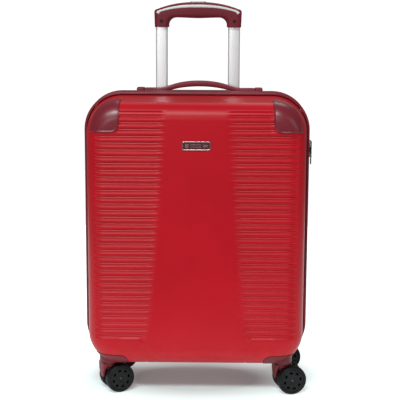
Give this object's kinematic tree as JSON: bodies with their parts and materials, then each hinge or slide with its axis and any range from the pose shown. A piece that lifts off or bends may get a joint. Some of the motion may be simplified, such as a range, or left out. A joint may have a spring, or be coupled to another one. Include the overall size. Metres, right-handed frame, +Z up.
{
  "type": "hard shell suitcase on wheels",
  "caption": "Upright hard cabin suitcase with ribbed zip-closed halves, a telescopic pull handle, a carry handle, a combination lock and swivelling twin-wheel casters.",
  "frame": {"origin": "on the floor, in the middle of the footprint", "axes": "+Z up, -Y out of the front face, +X towards the lock side"},
  "size_m": [0.4069, 0.2046, 0.6921],
  "materials": {
    "shell_red": "satin moulded shell, deep red",
    "trim_maroon": "soft satin maroon moulding",
    "zip_tape": "woven zip tape, near black",
    "lining_fabric": "plain woven polyester lining, grey",
    "strap_webbing": "woven elastic webbing",
    "tube_aluminium": "brushed and clear anodised",
    "black_plastic": "fine textured moulding",
    "wheel_rubber": "smooth solid wheel",
    "steel": "satin nickel",
    "grip_grey": "satin grey moulding",
    "badge_metal": "rose metal rim",
    "badge_enamel": "dark enamel"
  },
  "bodies": {
    "rear_case": {"rear_shell": "shell_red", "rear_lining": "lining_fabric", "rear_edge_trim": "trim_maroon", "rear_zip_tape": "zip_tape", "rear_corner_guard_left": "trim_maroon", "rear_corner_guard_right": "trim_maroon", "rear_caster_housing_left": "trim_maroon", "rear_caster_housing_right": "trim_maroon", "handle_bezel": "black_plastic", "tube_foot": "black_plastic", "outer_tube_left": "tube_aluminium", "outer_tube_right": "tube_aluminium", "carry_cap_left": "trim_maroon", "carry_cap_right": "trim_maroon", "lock_body": "black_plastic", "packing_strap_left": "strap_webbing", "packing_strap_right": "strap_webbing", "strap_buckle": "black_plastic"},
    "front_case": {"front_shell": "shell_red", "front_lining": "lining_fabric", "front_edge_trim": "trim_maroon", "front_zip_tape": "zip_tape", "front_corner_guard_left": "trim_maroon", "front_corner_guard_right": "trim_maroon", "front_caster_housing_left": "trim_maroon", "front_caster_housing_right": "trim_maroon", "badge_frame": "badge_metal", "badge_plate": "badge_enamel"},
    "mid_stage": {"mid_tube_left": "tube_aluminium", "mid_tube_right": "tube_aluminium"},
    "pull_handle": {"inner_tube_left": "tube_aluminium", "inner_tube_right": "tube_aluminium", "grip": "trim_maroon", "grip_inlay": "grip_grey"},
    "grip_button": {"grip_button": "grip_grey"},
    "carry_handle": {"carry_handle": "trim_maroon"},
    "lock_button": {"lock_button": "steel"},
    "zip_slider_upper": {"zip_slider_upper": "steel"},
    "zip_slider_lower": {"zip_slider_lower": "steel"},
    "pull_tab_upper": {"pull_tab_upper": "black_plastic"},
    "pull_tab_lower": {"pull_tab_lower": "black_plastic"},
    "lock_dial_1": {"lock_dial_1": "steel"},
    "lock_dial_2": {"lock_dial_2": "steel"},
    "lock_dial_3": {"lock_dial_3": "steel"},
    "front_left_caster": {"front_left_fork": "trim_maroon", "front_left_axle": "steel"},
    "front_left_wheel_a": {"front_left_wheel_a": "wheel_rubber"},
    "front_left_wheel_b": {"front_left_wheel_b": "wheel_rubber"},
    "front_right_caster": {"front_right_fork": "trim_maroon", "front_right_axle": "steel"},
    "front_right_wheel_a": {"front_right_wheel_a": "wheel_rubber"},
    "front_right_wheel_b": {"front_right_wheel_b": "wheel_rubber"},
    "rear_left_caster": {"rear_left_fork": "trim_maroon", "rear_left_axle": "steel"},
    "rear_left_wheel_a": {"rear_left_wheel_a": "wheel_rubber"},
    "rear_left_wheel_b": {"rear_left_wheel_b": "wheel_rubber"},
    "rear_right_caster": {"rear_right_fork": "trim_maroon", "rear_right_axle": "steel"},
    "rear_right_wheel_a": {"rear_right_wheel_a": "wheel_rubber"},
    "rear_right_wheel_b": {"rear_right_wheel_b": "wheel_rubber"}
  },
  "joints": [
    {"name": "case_opening", "type": "hinge", "parent": "rear_case", "child": "front_case", "pos_m": [-0.2005, 0, 0.291], "axis": [0, 0, -1], "range_deg": [0, 180]},
    {"name": "mid_stage_slide", "type": "slide", "parent": "rear_case", "child": "mid_stage", "axis": [0, 0, 1], "range_m": [0, 0.235]},
    {"name": "pull_handle_slide", "type": "slide", "parent": "mid_stage", "child": "pull_handle", "axis": [0, 0, 1], "range_m": [-0.1145, 0.12]},
    {"name": "grip_button_press", "type": "slide", "parent": "pull_handle", "child": "grip_button", "axis": [0, 0, -1], "range_m": [0, 0.003], "stiffness_N_per_m": 300, "springref_m": -0.001},
    {"name": "carry_handle_lift", "type": "slide", "parent": "rear_case", "child": "carry_handle", "axis": [0, 0, 1], "range_m": [0, 0.003], "stiffness_N_per_m": 400, "springref_m": -0.001},
    {"name": "lock_button_press", "type": "slide", "parent": "rear_case", "child": "lock_button", "axis": [-1, 0, 0], "range_m": [0, 0.0008], "stiffness_N_per_m": 200, "springref_m": -0.001},
    {"name": "zip_slider_upper_run", "type": "slide", "parent": "rear_case", "child": "zip_slider_upper", "axis": [0, 0, 1], "range_m": [0, 0.02]},
    {"name": "zip_slider_lower_run", "type": "slide", "parent": "rear_case", "child": "zip_slider_lower", "axis": [0, 0, -1], "range_m": [0, 0.28]},
    {"name": "lock_dial_1_turn", "type": "hinge", "parent": "rear_case", "child": "lock_dial_1", "pos_m": [0.2037, 0.0155, 0.441], "axis": [0, 0, 1], "continuous": true},
    {"name": "lock_dial_2_turn", "type": "hinge", "parent": "rear_case", "child": "lock_dial_2", "pos_m": [0.2037, 0.0155, 0.436], "axis": [0, 0, 1], "continuous": true},
    {"name": "lock_dial_3_turn", "type": "hinge", "parent": "rear_case", "child": "lock_dial_3", "pos_m": [0.2037, 0.0155, 0.431], "axis": [0, 0, 1], "continuous": true},
    {"name": "pull_tab_upper_swing", "type": "hinge", "parent": "zip_slider_upper", "child": "pull_tab_upper", "pos_m": [0.2039, 0, 0.439], "axis": [0, -1, 0], "range_deg": [0, 150]},
    {"name": "pull_tab_lower_swing", "type": "hinge", "parent": "zip_slider_lower", "child": "pull_tab_lower", "pos_m": [0.2039, 0, 0.42], "axis": [0, -1, 0], "range_deg": [0, 150]},
    {"name": "front_left_swivel", "type": "hinge", "parent": "front_case", "child": "front_left_caster", "pos_m": [-0.155, -0.0627, 0.055], "axis": [0, 0, 1], "continuous": true},
    {"name": "front_left_wheel_a_spin", "type": "hinge", "parent": "front_left_caster", "child": "front_left_wheel_a", "pos_m": [-0.13578, -0.06957, 0.026], "axis": [-0.454, 0.891, 0], "continuous": true},
    {"name": "front_left_wheel_b_spin", "type": "hinge", "parent": "front_left_caster", "child": "front_left_wheel_b", "pos_m": [-0.14927, -0.04311, 0.026], "axis": [-0.454, 0.891, 0], "continuous": true},
    {"name": "front_right_swivel", "type": "hinge", "parent": "front_case", "child": "front_right_caster", "pos_m": [0.155, -0.0627, 0.055], "axis": [0, 0, 1], "continuous": true},
    {"name": "front_right_wheel_a_spin", "type": "hinge", "parent": "front_right_caster", "child": "front_right_wheel_a", "pos_m": [0.17218, -0.07372, 0.026], "axis": [-0.2419, 0.9703, 0], "continuous": true},
    {"name": "front_right_wheel_b_spin", "type": "hinge", "parent": "front_right_caster", "child": "front_right_wheel_b", "pos_m": [0.16499, -0.0449, 0.026], "axis": [-0.2419, 0.9703, 0], "continuous": true},
    {"name": "rear_left_swivel", "type": "hinge", "parent": "rear_case", "child": "rear_left_caster", "pos_m": [-0.155, 0.0627, 0.055], "axis": [0, 0, 1], "continuous": true},
    {"name": "rear_left_wheel_a_spin", "type": "hinge", "parent": "rear_left_caster", "child": "rear_left_wheel_a", "pos_m": [-0.13676, 0.05353, 0.026], "axis": [-0.342, 0.9397, 0], "continuous": true},
    {"name": "rear_left_wheel_b_spin", "type": "hinge", "parent": "rear_left_caster", "child": "rear_left_wheel_b", "pos_m": [-0.14692, 0.08144, 0.026], "axis": [-0.342, 0.9397, 0], "continuous": true},
    {"name": "rear_right_swivel", "type": "hinge", "parent": "rear_case", "child": "rear_right_caster", "pos_m": [0.155, 0.0627, 0.055], "axis": [0, 0, 1], "continuous": true},
    {"name": "rear_right_wheel_a_spin", "type": "hinge", "parent": "rear_right_caster", "child": "rear_right_wheel_a", "pos_m": [0.17137, 0.05051, 0.026], "axis": [-0.1736, 0.9848, 0], "continuous": true},
    {"name": "rear_right_wheel_b_spin", "type": "hinge", "parent": "rear_right_caster", "child": "rear_right_wheel_b", "pos_m": [0.16621, 0.07976, 0.026], "axis": [-0.1736, 0.9848, 0], "continuous": true}
  ]
}
